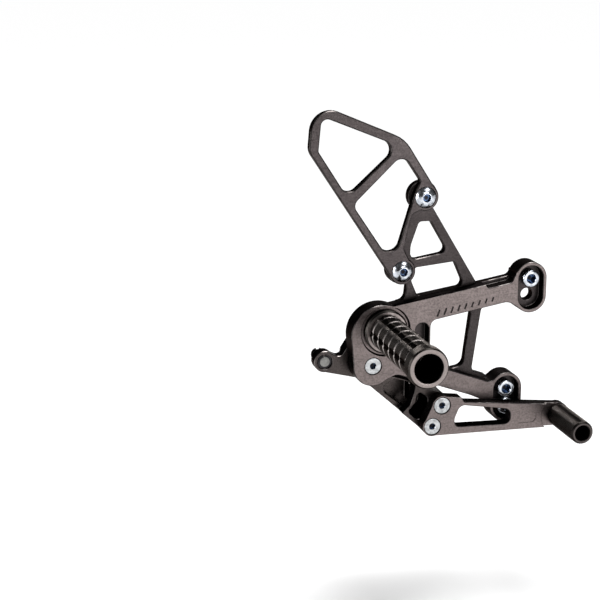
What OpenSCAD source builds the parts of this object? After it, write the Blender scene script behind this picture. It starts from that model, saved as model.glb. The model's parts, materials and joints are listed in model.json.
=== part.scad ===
// Adjustable rear set for a motorbike, right-hand (brake) side.
// X points forward, Y inboard towards the frame, Z up. The origin is on the mounting
// face of the upper ear, on the axis of the upper frame bolt.

/* [Layout] */
// How far the foot peg sits behind the upper frame bolt
peg_back = 106.3; // [98:0.1:114]
// How far the foot peg sits below the upper frame bolt
peg_drop = 30.9; // [27:0.1:34]
// How far the lower ear sits behind the upper one
low_ear_back = 16; // [10:0.5:22]
// How far the lower ear's first hole sits below the upper ear's
low_ear_drop = 79.5; // [76:0.5:84]
// Spacing of the two frame holes in an ear
hole_pitch = 12.7; // [12.7:0.1:15]
// How far the brake pivot sits behind the foot peg
pivot_back = 8.8; // [6:0.1:10.5]
// How far the brake pivot sits below the foot peg
pivot_drop = 24.5; // [23.5:0.1:26]

/* [Bracket] */
// Thickness of the bracket billet
plate_t = 15; // [13:0.5:18]
// Thickness of the strut and of the guard carrier
web_t = 6.5; // [5:0.25:8]
// Radius of the hub round the foot peg
hub_r = 21.8; // [20.5:0.1:23]
// Radius of the lobe round the brake pivot
lobe_r = 14.2; // [13:0.1:15]
// Radius of a frame ear
ear_r = 11.8; // [11:0.1:13]
// Wall round the pocket of a frame ear
ear_wall = 2.5; // [1.5:0.1:3]
// Thickness left under the pocket of a frame ear
ear_floor = 7.5; // [5:0.5:10]
// Width of the strut between the two arms
strut_w = 7.5; // [5:0.5:10]
// Depth of the grooves on the outer face of the upper arm
groove_depth = 0.5; // [0.2:0.1:1]
// Number of grooves on the outer face of the upper arm
groove_count = 9; // [3:1:10]

/* [Heel guard] */
// Thickness of the heel guard
guard_t = 6.2; // [4:0.2:8]
// Radius of a guard lug
guard_lug_r = 9.3; // [8.8:0.1:10]
// Radius of a carrier lug behind it
carrier_lug_r = 10.6; // [9.8:0.1:11.4]
// Upper guard bolt, forward of the foot peg
guard_up_x = 27.8; // [26:0.1:30]
// Upper guard bolt, above the foot peg
guard_up_z = 92; // [89:0.1:95]
// Lower guard bolt, forward of the foot peg
guard_low_x = 12.2; // [11:0.1:13.5]
// Lower guard bolt, above the foot peg
guard_low_z = 41.1; // [39:0.1:43]

/* [Foot peg] */
// Length of the foot peg
peg_len = 92; // [82:1:102]
// Depth of the round recess that the foot peg stands in
peg_recess = 2; // [1:0.5:3]
// Gap between the base flange and the wall of the recess
peg_recess_gap = 2; // [1:0.1:2.4]
// Diameter of the gripping part
peg_d = 25.4; // [24:0.1:27]
// Diameter of the base flange
peg_flange_d = 31; // [30:0.1:34]
// Thickness of the base flange
peg_flange_t = 5; // [3:0.5:7]
// Diameter of the collar at the free end
peg_collar_d = 27.6; // [27.2:0.1:30]
// Width of the collar at the free end
peg_collar_w = 10; // [6:0.5:12]
// Diameter of the hollow
peg_hollow_d = 19.6; // [15:0.1:20]
// Depth of the wide part of the hollow
peg_bore_step = 38; // [20:1:60]
// Solid base left under the hollow
peg_base = 18; // [12:1:25]
// Distance between the ring grooves
ring_pitch = 11.6; // [9:0.1:14]
// Width of a ring groove
ring_w = 2.2; // [1:0.1:3]
// Depth of a ring groove
ring_depth = 1; // [0.5:0.1:1.4]
// Number of flutes along the peg
flute_count = 6; // [4:1:8]
// Depth of a flute
flute_depth = 0.9; // [0.4:0.1:1.4]
// Radius of the cutter that mills a flute
flute_r = 4; // [2.5:0.1:5]

/* [Brake lever] */
// Thickness of the lever at the pivot
lever_t = 12; // [9:0.5:14]
// Thickness of the clevis ear at its rear
clevis_t = 9; // [7:0.5:9]
// Radius of the clevis ear
clevis_r = 7.6; // [7.2:0.1:8.4]
// Clevis pin, behind the pivot
clevis_back = 30.4; // [29:0.1:34]
// Clevis pin, above the pivot
clevis_rise = 0.8; // [0:0.1:3]
// Diameter of the clevis pin
clevis_pin_d = 7; // [6:0.1:8]
// How far the clevis pin stands out for the push rod
clevis_pin_out = 12; // [8:1:16]
// How far the middle of the lever stands out past the mounting face
step_out = 8; // [5:0.5:10]
// Gap between the bracket's outer face and the pedal blade
blade_gap = 3; // [2:0.5:5]
// Diameter of the journal of the pivot stud
journal_d = 12; // [10:0.5:13]
// Wall of the bush in the lever
bush_wall = 2; // [1:0.25:2.5]

/* [Pedal] */
// Thickness of the pedal blade
blade_t = 10; // [8:0.5:12]
// Radius round each blade screw
boss_r = 7; // [6.6:0.1:7.6]
// Radius of the blade's toe end
toe_end_r = 8.6; // [8.3:0.1:9.6]
// Toe peg, forward of the pivot
toe_x = 135; // [125:0.5:145]
// Toe peg, below the pivot
toe_drop = 42.9; // [41:0.1:44]
// Length of the toe peg
toe_len = 42.5; // [30:0.5:50]
// Depth of the round seat milled for the toe peg
toe_seat_depth = 3; // [1:0.5:4]
// Radius of the round seat milled for the toe peg
toe_seat_r = 13.5; // [10:0.5:16]
// Diameter of the toe peg
toe_d = 16.5; // [15:0.1:17]
// Diameter of the hollow of the toe peg
toe_hollow_d = 11; // [10.2:0.1:12]

/* [Fasteners] */
// Thread of the frame, guard and foot peg bolts
bolt_d = 8; // [8:1:8]
// Thread of the pivot, blade and toe peg screws
screw_d = 6; // [6:1:6]
// Length of a frame bolt under its head
frame_bolt_len = 20; // [16:1:30]
// Radial gap of a bolt in a plain hole
hole_gap = 0.25; // [0.1:0.05:0.5]
// Radial gap of a cap head in its recess
head_gap = 0.6; // [0.4:0.1:0.8]
// Radial gap round the rim of a countersunk head
rim_gap = 0.4; // [0.3:0.05:0.5]
// Radial gap of a thread in its tapped hole
thread_gap = 0.03; // [0.02:0.01:0.05]
// Radial gap between the journal and the bush
run_gap = 0.04; // [0.02:0.01:0.08]
// End float of the lever between its washers
end_float = 0.1; // [0.05:0.05:0.3]
// Thickness of a thrust washer
washer_t = 1; // [0.5:0.25:2]

/* [Hidden] */
$fn = 48;

black = [0.17, 0.15, 0.15];
steel = [0.78, 0.80, 0.84];
bronze = [0.72, 0.55, 0.30];

// Axes of the part as [forward, up]
peg = [-peg_back, -peg_drop];
hub = peg + [-3, -3];
pivot = peg - [pivot_back, pivot_drop];
ear_up = [0, 0];
ear_up_free = ear_up - [0, hole_pitch];
ear_low = [-low_ear_back, -low_ear_drop];
ear_low_second = ear_low - [0, hole_pitch];
guard_up = peg + [guard_up_x, guard_up_z];
guard_low = peg + [guard_low_x, guard_low_z];
clevis = pivot + [-clevis_back, clevis_rise];
blade_hole_up = pivot + [46.6, -28.4];
blade_hole_low = pivot + [39.7, -43.2];
toe = pivot + [toe_x, -toe_drop];

// Faces along Y: the mounting face is 0 and the outer side is negative
bracket_front = -plate_t;
peg_seat_y = bracket_front + peg_recess;
web_front = -web_t;
guard_front = web_front - guard_t;
blade_back = bracket_front - blade_gap;
blade_front = blade_back - blade_t;
toe_seat_y = blade_front + toe_seat_depth;
lever_front = washer_t + end_float;
lever_back = lever_front + lever_t;
washer_in = lever_back + end_float;
flange_in = washer_in + washer_t;

// Slopes of the two arms, as rise for each millimetre forward
arm_up_slope = 0.184;
arm_low_slope = -0.36;
arm_up_h = 12.4;
ear_pocket_y = -ear_floor;
peg_bolt_head_h = bolt_d + 0.4;
spigot_d = 9;
spigot_h = 5;
csk_sink = 0.5;
guard_sink = 1.2;
toe_counterbore = 2.5;
thread_cut = 0.8;
clip_t = 1;
clip_step = 0.6;

function unit(v) = v / norm(v);

// Heads of a cap screw and of a button screw
function head_d(d) = 1.5 * d + 0.4;
function button_r(d) = 0.9 * d;

// Points of one corner [x, z, r], rounded by an arc that touches both sides
function corner(a, b, c) =
    let (
        p = [b.x, b.y],
        u = unit([a.x, a.y] - p),
        v = unit([c.x, c.y] - p),
        half = acos(max(-1, min(1, u * v))) / 2,
        reach = b.z / tan(half),
        middle = p + unit(u + v) * b.z / sin(half),
        from = p + u * reach - middle,
        turn = (u.x * v.y - u.y * v.x > 0 ? 1 : -1) * (180 - 2 * half),
        n = max(2, ceil(abs(turn) / 10))
    )
    b.z == 0 ? [p] : [for (i = [0:n])
        let (t = turn * i / n)
        middle + [from.x * cos(t) + from.y * sin(t), from.y * cos(t) - from.x * sin(t)]];

// Closed outline through corners [x, z, r]
function soft(k) = [for (i = [0:len(k) - 1])
    each corner(k[(i + len(k) - 1) % len(k)], k[i], k[(i + 1) % len(k)])];

// Corners given from a base point
function from(base, k) = [for (c = k) [base.x + c.x, base.y + c.y, c.z]];

// A flat outline in X and Z, extruded from y0 to y1
module slab(y0, y1) {
    translate([0, y1, 0]) rotate([90, 0, 0]) linear_extrude(y1 - y0) children();
}

// A round bar or bore along Y
module rod(at, y0, y1, d) {
    translate([at.x, y1, at.y]) rotate([90, 0, 0]) cylinder(h = y1 - y0, d = d);
}

// Puts something modelled along +Z at a point, with +Z outboard or inboard
module outboard(at, y) {
    translate([at.x, y, at.y]) rotate([90, 0, 0]) children();
}

module inboard(at, y) {
    translate([at.x, y, at.y]) rotate([-90, 0, 0]) children();
}

module disc(at, r) {
    translate(at) circle(r = r);
}

// Two holes' worth of round-ended slot
module racetrack(a, b, r) {
    disc(a, r);
    disc(b, r);
    polygon([a - [r, 0], a + [r, 0], b + [r, 0], b - [r, 0]]);
}

// Socket screws, seat at z = 0 and shank downwards; plain is the part without thread
module shank(d, len, plain = 0) {
    thread_d = plain > 0 ? d - thread_cut : d;
    translate([0, 0, -len + 0.6]) cylinder(h = len - 0.6, d = thread_d);
    translate([0, 0, -len]) cylinder(h = 0.6, d1 = thread_d - 1.2, d2 = thread_d);
    if (plain > 0) translate([0, 0, -plain]) cylinder(h = plain, d = d);
}

module cap_screw(d, len, plain = 0) {
    difference() {
        union() {
            shank(d, len, plain);
            cylinder(h = d - 0.5, d = head_d(d));
            translate([0, 0, d - 0.5]) cylinder(h = 0.5, d1 = head_d(d), d2 = head_d(d) - 1);
        }
        translate([0, 0, d / 2]) cylinder(h = d, d = 0.866 * d, $fn = 6);
    }
}

module button_screw(d, len) {
    head_r = button_r(d);
    rim_h = 0.15 * d;
    dome_h = 0.45 * d;
    dome_r = (head_r * head_r + dome_h * dome_h) / (2 * dome_h);
    difference() {
        union() {
            shank(d, len);
            cylinder(h = rim_h, r = head_r);
            intersection() {
                translate([0, 0, rim_h + dome_h - dome_r]) sphere(r = dome_r);
                translate([0, 0, rim_h / 2]) cylinder(h = d / 2 - rim_h / 2, r = head_r);
            }
        }
        translate([0, 0, d / 4 - 0.4]) cylinder(h = d, d = 0.72 * d, $fn = 6);
    }
}

// Countersunk screw, flat top at z = 0
module csk_screw(d, len) {
    rim = 0.3;
    cone_h = d / 2;
    difference() {
        union() {
            translate([0, 0, -rim]) cylinder(h = rim, d = 2 * d);
            translate([0, 0, -rim - cone_h]) cylinder(h = cone_h, d1 = d, d2 = 2 * d);
            shank(d, len);
        }
        translate([0, 0, -0.4 * d]) cylinder(h = d, d = 0.77 * d, $fn = 6);
    }
}

// The seat that a countersunk screw leaves, top of the screw at z = 0
module csk_seat(d, depth) {
    rim = 0.3;
    wide = 2 * d + 2 * hole_gap;
    cone_h = wide / 2 - d / 2 - hole_gap;
    translate([0, 0, -rim]) cylinder(h = rim + 2 * csk_sink, d = 2 * d + 2 * rim_gap);
    translate([0, 0, -rim - cone_h]) cylinder(h = cone_h, d1 = d + 2 * hole_gap, d2 = wide);
    translate([0, 0, -depth]) cylinder(h = depth - rim, d = d + 2 * hole_gap);
}

// Outline of the billet: hub, lobe, both arms and both ears
module bracket_outline() {
    disc(hub, hub_r);
    disc(pivot, lobe_r);
    racetrack(ear_up, ear_up_free, ear_r);
    racetrack(ear_low, ear_low_second, ear_r);
    window_x = peg.x + 32.6;
    arm_up_z = peg.y + 5.3;
    arm_end = ear_up_free + [-16.3, -2.9];
    low_end = ear_low + [-12.2, 5.7];
    polygon(soft([
        [hub.x, hub.y + 12, 0],
        [peg.x + 5, peg.y + 17, 0],
        [ear_up.x - ear_r + 0.8, ear_up.y + 1.6, 5],
        [ear_up.x - ear_r + 0.8, ear_up.y + 5, 0],
        [ear_up.x, ear_up.y + 5, 0],
        [ear_up_free.x, ear_up_free.y, 0],
        [ear_up_free.x - 0.59 * ear_r, ear_up_free.y - 0.79 * ear_r, 0],
        [arm_end.x, arm_end.y, 8],
        [window_x, arm_up_z, 5],
        [window_x, peg.y - 26.2, 4],
        [low_end.x, low_end.y, 5],
        [ear_low.x - 0.5 * ear_r, ear_low.y + 0.84 * ear_r, 0],
        [ear_low.x, ear_low.y, 0],
        [ear_low_second.x, ear_low_second.y, 0],
        [ear_low_second.x - 0.91 * ear_r, ear_low_second.y + 0.2 * ear_r, 0],
        [peg.x + 63.1, peg.y - 51.2, 30],
        [peg.x + 40.4, peg.y - 42.9, 60],
        [pivot.x + 17.2, pivot.y - 7.2, 7],
        [pivot.x + 0.53 * lobe_r, pivot.y - 0.81 * lobe_r, 0],
        [pivot.x, pivot.y, 0],
        [pivot.x - lobe_r + 0.3, pivot.y + 1, 0],
        [hub.x - hub_r + 0.1, hub.y - 1, 0]
    ]));
}

// Outline of the guard carrier that stands on the upper arm
module carrier_outline() {
    low_r = carrier_lug_r - 0.8;
    right = peg + [68.2, 29.4];
    disc(guard_up, carrier_lug_r);
    disc(guard_low, low_r);
    polygon(soft([
        [guard_up.x - 4, guard_up.y, 0],
        [guard_up.x + 4, guard_up.y - 2.6, 0],
        [right.x, right.y, 0],
        [right.x + 0.6, right.y - 5, 0],
        [peg.x + 4, peg.y + 14, 0],
        [peg.x + 11.2, peg.y + 18.4, 0],
        [peg.x + 16.4, peg.y + 19.4, 5.5],
        [guard_low.x + 5.5, guard_low.y - 0.72 * low_r, 0],
        [guard_low.x - 1.5, guard_low.y + 0.8 * low_r, 0],
        [guard_low.x + 0.7, guard_low.y + 17, 12],
        [guard_up.x - 6, guard_up.y - 6.5, 0]
    ]));
}

module carrier_windows() {
    polygon(soft(from(peg, [
        [19.4, 47.1, 4.5], [47.1, 51.7, 4], [34, 74.1, 3], [25.6, 74.2, 3], [19.8, 57.6, 8]
    ])));
    polygon(soft(from(peg, [
        [25.4, 21.6, 2], [59.9, 26.9, 4], [52.2, 44.6, 2.5], [23.3, 41.8, 2.5], [20.4, 33, 6]
    ])));
}

// Strut that ties the lower arm to the upper one
module strut_outline() {
    top = peg + [65.6, 12];
    foot = peg + [60, -37];
    lean = (top.x - foot.x) / (top.y - foot.y);
    polygon(soft([
        [top.x - 7, top.y + 2, 0],
        [top.x, top.y - 3.5, 4],
        [foot.x + lean * 6, foot.y + 5.5, 6],
        [foot.x - 10, foot.y + 3.5, 0],
        [foot.x - 8, foot.y - 4, 0],
        [foot.x + strut_w + 12, foot.y - 8, 0],
        [foot.x + strut_w + 10.5, foot.y - 3, 0],
        [foot.x + strut_w - 0.6, foot.y + 1, 4],
        [top.x + strut_w, top.y - 2.5, 5],
        [top.x + strut_w + 6, top.y + 2, 0]
    ]));
}

module ear_cuts(a, b) {
    slab(bracket_front - 1, ear_pocket_y) racetrack(a, b, ear_r - ear_wall);
    rod(a, -plate_t, 1, bolt_d + 2 * hole_gap);
    rod(b, -plate_t, 1, bolt_d + 2 * hole_gap);
}

// Plain slanted grooves along the outer face of the upper arm
module arm_grooves() {
    slant = atan(arm_up_slope);
    for (i = [0:groove_count - 1]) {
        middle = peg + [38 + 5 * i, 10.5 + 5 * i * arm_up_slope];
        length = 5.4 - 0.25 * i;
        translate([middle.x, bracket_front, middle.y]) rotate([0, 30 - slant, 0])
            cube([1.3, 2 * groove_depth, length], center = true);
    }
}

module main_bracket() {
    pocket_x = peg.x + 26.4;
    color(black) difference() {
        union() {
            slab(bracket_front, 0) bracket_outline();
            slab(web_front, 0) difference() {
                union() {
                    carrier_outline();
                    strut_outline();
                }
                carrier_windows();
            }
        }
        // Ledge milled into the top of the arm beside the upper ear
        slab(bracket_front - 1, web_front) polygon(soft([
            [ear_up.x - 35.6, ear_up.y + 6, 0],
            [ear_up.x - 32.8, ear_up.y - 5.3, 3.5],
            [ear_up.x - ear_r - 2.1, ear_up.y - 1.9, 4],
            [ear_up.x - ear_r + 0.2, ear_up.y + 6, 0]
        ]));
        // Blind pocket between the hub and the window
        slab(bracket_front - 1, web_front) polygon(soft([
            [pocket_x - 4.9, peg.y - 24.6, 3],
            [pocket_x + 4.9, peg.y - 25.8, 3],
            [pocket_x + 4.9, peg.y + 4.3, 4.8],
            [pocket_x - 4.9, peg.y + 4.3, 4.8]
        ]));
        ear_cuts(ear_up, ear_up_free);
        ear_cuts(ear_low, ear_low_second);
        rod(peg, bracket_front - 1, peg_seat_y, peg_flange_d + 2 * peg_recess_gap);
        rod(peg, -plate_t - 1, 1, bolt_d + 2 * hole_gap);
        rod(peg, -peg_bolt_head_h, 1, head_d(bolt_d) + 2 * head_gap);
        outboard(pivot, bracket_front + csk_sink) csk_seat(screw_d, plate_t + 1);
        rod(pivot, -spigot_h - 0.1, 1, spigot_d + 2 * thread_gap);
        rod(guard_up, web_front - 1, 1, bolt_d + 2 * thread_gap);
        rod(guard_low, web_front - 1, 1, bolt_d + 2 * thread_gap);
        arm_grooves();
    }
}

// Outline of the heel guard between and above its two lugs
module guard_outline() {
    polygon(soft([
        [peg.x - 51.6, peg.y + 159.6, 14.3],
        [peg.x + 12.4, peg.y + 132.6, 24],
        [guard_up.x + 0.8 * guard_lug_r, guard_up.y + 0.52 * guard_lug_r, 0],
        [guard_up.x, guard_up.y, 0],
        [guard_up.x - 0.17 * guard_lug_r, guard_up.y - 0.85 * guard_lug_r, 0],
        [guard_up.x - 9.6, guard_up.y - 11.5, 5],
        [guard_low.x + 0.5, guard_low.y + 16, 6],
        [guard_low.x + 0.7 * guard_lug_r, guard_low.y + 0.5 * guard_lug_r, 0],
        [guard_low.x, guard_low.y, 0],
        [guard_low.x - 0.78 * guard_lug_r, guard_low.y - 0.53 * guard_lug_r, 0],
        [peg.x - 54.4, peg.y + 126.3, 10]
    ]));
}

module guard_windows() {
    polygon(soft(from(peg, [
        [-45.6, 149.4, 4.5], [8.5, 127.5, 7], [-27.6, 94.8, 6.5], [-47.8, 126.1, 3]
    ])));
    polygon(soft(from(peg, [
        [-23.6, 88.9, 5.5], [11.2, 122.4, 6.5], [23.9, 103.5, 3], [20, 95, 12], [5.2, 46.1, 7.4]
    ])));
}

module heel_guard() {
    color(black) difference() {
        union() {
            slab(guard_front, web_front) guard_outline();
            rod(guard_up, guard_front, web_front, 2 * guard_lug_r);
            rod(guard_low, guard_front, web_front, 2 * guard_lug_r);
        }
        slab(guard_front - 1, web_front + 1) guard_windows();
        for (at = [guard_up, guard_low]) {
            rod(at, guard_front - 1, web_front + 1, bolt_d + 2 * hole_gap);
            rod(at, guard_front - 1, guard_front + guard_sink, 2 * button_r(bolt_d) + 0.6);
        }
    }
}

module guard_bolt(at) {
    color(steel) outboard(at, guard_front + guard_sink)
        button_screw(bolt_d, guard_t + web_t - guard_sink);
}

module guard_bolt_upper() {
    guard_bolt(guard_up);
}

module guard_bolt_lower() {
    guard_bolt(guard_low);
}

// Half section of the foot peg, radius by length from its seat
function peg_section() =
    let (
        r = peg_d / 2,
        collar_at = peg_len - peg_collar_w,
        ring_at = [for (z = [collar_at - 2:-ring_pitch:peg_flange_t + ring_w]) z],
        last = len(ring_at) - 1
    )
    concat(
        [[bolt_d / 2 + thread_gap, 0], [peg_flange_d / 2, 0],
         [peg_flange_d / 2, peg_flange_t - 1.2], [peg_flange_d / 2 - 1.2, peg_flange_t],
         [r, peg_flange_t]],
        [for (i = [last:-1:0]) each [
            [r, ring_at[i] - ring_w / 2],
            [r - ring_depth, ring_at[i] - ring_w / 6],
            [r - ring_depth, ring_at[i] + ring_w / 6],
            [r, ring_at[i] + ring_w / 2]]],
        [[r, collar_at], [peg_collar_d / 2, collar_at + 0.8],
         [peg_collar_d / 2, peg_len - 1.5], [peg_collar_d / 2 - 1.5, peg_len],
         [peg_hollow_d / 2 + 0.6, peg_len], [peg_hollow_d / 2, peg_len - 0.6],
         [peg_hollow_d / 2, peg_len - peg_bore_step],
         [peg_hollow_d / 2 - 1, peg_len - peg_bore_step],
         [peg_hollow_d / 2 - 1, peg_base], [bolt_d / 2 + thread_gap, peg_base]]
    );

module foot_peg() {
    flute_len = peg_len - peg_collar_w - peg_flange_t - 0.5;
    color(black) outboard(peg, peg_seat_y) difference() {
        rotate_extrude($fn = 72) polygon(peg_section());
        for (i = [0:flute_count - 1]) {
            rotate([0, 0, 56 + i * 360 / flute_count])
                translate([peg_d / 2 + flute_r - flute_depth, 0, peg_flange_t])
                cylinder(h = flute_len, r = flute_r, $fn = 24);
        }
    }
}

module peg_bolt() {
    color(steel) inboard(peg, -peg_bolt_head_h)
        cap_screw(bolt_d, plate_t - peg_recess - peg_bolt_head_h + peg_base - 2);
}

module frame_bolt(at) {
    color(steel) outboard(at, ear_pocket_y) cap_screw(bolt_d, frame_bolt_len, ear_floor);
}

module frame_bolt_upper() {
    frame_bolt(ear_up);
}

module frame_bolt_middle() {
    frame_bolt(ear_low);
}

module frame_bolt_lower() {
    frame_bolt(ear_low_second);
}

// Shouldered stud that the lever turns on, held by the screw from the outside
module pivot_stud() {
    flange_t = 3;
    color(steel) difference() {
        union() {
            rod(pivot, -spigot_h, 1, spigot_d);
            rod(pivot, 0, flange_in + 0.5, journal_d);
            rod(pivot, flange_in, flange_in + flange_t, journal_d + 8);
        }
        rod(pivot, -spigot_h - 1, flange_in - 4, screw_d + 2 * thread_gap);
        translate([pivot.x, flange_in + flange_t + 1, pivot.y]) rotate([90, 0, 0])
            cylinder(h = 5, d = 9.2, $fn = 6);
    }
}

module pivot_screw() {
    color(steel) outboard(pivot, bracket_front + csk_sink)
        csk_screw(screw_d, plate_t - csk_sink + flange_in - 6);
}

module thrust_washer(y0) {
    color(bronze) difference() {
        rod(pivot, y0, y0 + washer_t, journal_d + 8);
        rod(pivot, y0 - 1, y0 + washer_t + 1, journal_d + 2 * run_gap);
    }
}

module thrust_washer_outer() {
    thrust_washer(0);
}

module thrust_washer_inner() {
    thrust_washer(washer_in);
}

// Side of the lever as it lies behind the bracket
module lever_side() {
    disc(clevis, clevis_r);
    disc(blade_hole_up, boss_r);
    disc(blade_hole_low, boss_r);
    polygon(soft([
        [clevis.x + 0.4 * clevis_r, clevis.y + 0.86 * clevis_r, 0],
        [pivot.x - 18.9, pivot.y + 2.9, 4],
        [pivot.x - 11.5, pivot.y + 14.5, 6],
        [pivot.x + 3, pivot.y + 18.5, 10],
        [pivot.x + 17, pivot.y + 1, 14],
        [blade_hole_up.x + 0.3 * boss_r, blade_hole_up.y + 0.9 * boss_r, 0],
        [blade_hole_up.x, blade_hole_up.y, 0],
        [blade_hole_up.x + 0.86 * boss_r, blade_hole_up.y - 0.4 * boss_r, 0],
        [blade_hole_low.x + 0.86 * boss_r, blade_hole_low.y - 0.4 * boss_r, 0],
        [blade_hole_low.x - 0.64 * boss_r, blade_hole_low.y - 0.7 * boss_r, 0],
        [pivot.x - 3.2, pivot.y - 13.6, 12],
        [clevis.x - 0.22 * clevis_r, clevis.y - 0.93 * clevis_r, 0]
    ]));
}

// The lever's side, less what would meet the lobe and the lower arm
module lever_outer(clear) {
    difference() {
        intersection() {
            lever_side();
            polygon([
                pivot + [-2, -12], pivot + [17.2, -9.6 - clear], pivot + [48, -19.9 - clear],
                pivot + [60, -24 - clear], pivot + [60, -60], pivot + [-2, -60]
            ]);
        }
        disc(pivot, lobe_r + 2);
    }
}

module lever_pockets() {
    // First pocket, behind the step
    slab(-step_out - 1, lever_front + 1) polygon(soft(from(pivot, [
        [9, -17.5, 3], [10.6, -22, 2], [25.3, -34.6, 3], [28.7, -31, 3], [28.7, -15.5, 3],
        [18.5, -12.4, 5]
    ])));
    // Second pocket, between the step and the blade
    slab(blade_back - 1, lever_front + 2) polygon(soft(from(pivot, [
        [32, -19.3, 2.5], [39, -24.5, 3], [39.6, -33, 5], [32.5, -41.5, 3], [24.4, -34.2, 3],
        [30, -28, 4]
    ])));
}

module brake_lever() {
    arm_clear = 1.5;
    color(black) difference() {
        union() {
            slab(lever_front, lever_back) lever_side();
            slab(-step_out, lever_front + 1) lever_outer(arm_clear);
            slab(blade_back, lever_front + 1) intersection() {
                lever_outer(arm_clear);
                polygon(soft(from(pivot, [
                    [31, -10, 0], [29.5, -20, 8], [26.5, -29.5, 5], [20, -36, 3], [17, -45, 0],
                    [60, -70, 0], [60, -10, 0]
                ])));
            }
        }
        lever_pockets();
        // The clevis ear is thinner than the hub
        slab(lever_front + clevis_t, lever_back + 1) polygon([
            clevis + [-12, -12], clevis + [14, -12], clevis + [14, 12], clevis + [-12, 12]
        ]);
        rod(pivot, 0, lever_back + 1, journal_d + 2 * bush_wall);
        rod(clevis, 0, lever_back, clevis_pin_d + 2 * run_gap);
        rod(clevis, 0, lever_front + 1.8, clevis_pin_d + 4);
        for (at = [blade_hole_up, blade_hole_low])
            rod(at, blade_back - 1, blade_back + 16, screw_d + 2 * thread_gap);
    }
}

module lever_bush() {
    color(bronze) difference() {
        rod(pivot, lever_front, lever_back, journal_d + 2 * bush_wall);
        rod(pivot, 0, lever_back + 1, journal_d + 2 * run_gap);
    }
}

// Pin for the push rod of the brake cylinder, with a clip at each end
module clevis_pin() {
    out = lever_front + clevis_t + clevis_pin_out;
    neck = clevis_pin_d - 1.4;
    color(steel) difference() {
        rod(clevis, lever_front, out, clevis_pin_d);
        for (y = [lever_front + clip_step, out - clip_step - clip_t])
            difference() {
                rod(clevis, y, y + clip_t, clevis_pin_d + 1);
                rod(clevis, y - 1, y + clip_t + 1, neck);
            }
    }
}

module clevis_clip(y) {
    color(steel) difference() {
        rod(clevis, y, y + clip_t, clevis_pin_d + 2.6);
        rod(clevis, y - 1, y + clip_t + 1, clevis_pin_d - 1.4);
        translate([clevis.x, y + clip_t / 2, clevis.y + clevis_pin_d / 2 + 1])
            cube([2.4, 2 * clip_t, 4], center = true);
    }
}

module clevis_clip_outer() {
    clevis_clip(lever_front + clip_step);
}

module clevis_clip_inner() {
    clevis_clip(lever_front + clevis_t + clevis_pin_out - clip_step - clip_t);
}

// Outline of the pedal blade between its screw bosses and its toe end
module blade_outline() {
    polygon(soft([
        [blade_hole_up.x + 0.25 * boss_r, blade_hole_up.y + 0.92 * boss_r, 0],
        [blade_hole_up.x + 14.4, blade_hole_up.y + 4.8, 1.5],
        [blade_hole_up.x + 16.3, blade_hole_up.y + 1.2, 2],
        [toe.x + 0.12 * toe_end_r, toe.y + 0.95 * toe_end_r, 0],
        [toe.x, toe.y, 0],
        [toe.x - 0.1 * toe_end_r, toe.y - 0.95 * toe_end_r, 0],
        [blade_hole_low.x - 0.06 * boss_r, blade_hole_low.y - 0.95 * boss_r, 0],
        [blade_hole_low.x, blade_hole_low.y, 0],
        [blade_hole_low.x - 0.86 * boss_r, blade_hole_low.y + 0.4 * boss_r, 0],
        [blade_hole_up.x - 0.86 * boss_r, blade_hole_up.y + 0.4 * boss_r, 0],
        [blade_hole_up.x, blade_hole_up.y, 0]
    ]));
}

module blade_window() {
    polygon(soft(from(blade_hole_up, [
        [13.4, -0.6, 5], [51.3, -6.8, 5], [51, -17.5, 4.5], [9.4, -16.4, 4], [9.5, -10.1, 6]
    ])));
}

module pedal_blade() {
    color(black) difference() {
        union() {
            slab(blade_front, blade_back) blade_outline();
            rod(blade_hole_up, blade_front, blade_back, 2 * boss_r);
            rod(blade_hole_low, blade_front, blade_back, 2 * boss_r);
            rod(toe, blade_front, blade_back, 2 * toe_end_r);
        }
        slab(blade_front - 1, blade_back + 1) blade_window();
        // Oval recess near the toe, left bare
        slab(blade_front - 1, blade_front + 0.4) polygon(soft(from(toe + [-25.6, 1], [
            [-8, 4.3, 4], [8, 4.3, 4], [8, -4.3, 4], [-8, -4.3, 4]
        ])));
        for (at = [blade_hole_up, blade_hole_low])
            outboard(at, blade_front + csk_sink) csk_seat(screw_d, blade_t + 1);
        rod(toe, blade_front - 1, toe_seat_y, 2 * toe_seat_r);
        rod(toe, blade_front - 1, blade_back + 1, screw_d + 2 * hole_gap);
        rod(toe, blade_back - toe_counterbore, blade_back + 1, head_d(screw_d) + 2 * head_gap);
    }
}

module blade_screw(at) {
    color(steel) outboard(at, blade_front + csk_sink) csk_screw(screw_d, blade_t + 12);
}

module blade_screw_upper() {
    blade_screw(blade_hole_up);
}

module blade_screw_lower() {
    blade_screw(blade_hole_low);
}

module toe_peg() {
    base = 9;
    r = toe_d / 2;
    color(black) outboard(toe, toe_seat_y) rotate_extrude() polygon([
        [screw_d / 2 + thread_gap, 0], [r - 1.2, 0], [r - 1.2, 1], [r, 2.2],
        [r, toe_len - 1.2], [r - 1.2, toe_len], [toe_hollow_d / 2 + 0.4, toe_len],
        [toe_hollow_d / 2, toe_len - 0.4], [toe_hollow_d / 2, base],
        [screw_d / 2 + thread_gap, base]
    ]);
}

module toe_peg_bolt() {
    color(steel) inboard(toe, blade_back - toe_counterbore)
        cap_screw(screw_d, blade_t - toe_seat_depth - toe_counterbore + 8);
}

main_bracket();
heel_guard();
guard_bolt_upper();
guard_bolt_lower();
foot_peg();
peg_bolt();
frame_bolt_upper();
frame_bolt_middle();
frame_bolt_lower();
pivot_stud();
pivot_screw();
thrust_washer_outer();
thrust_washer_inner();
brake_lever();
lever_bush();
clevis_pin();
clevis_clip_outer();
clevis_clip_inner();
pedal_blade();
blade_screw_upper();
blade_screw_lower();
toe_peg();
toe_peg_bolt();
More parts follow.
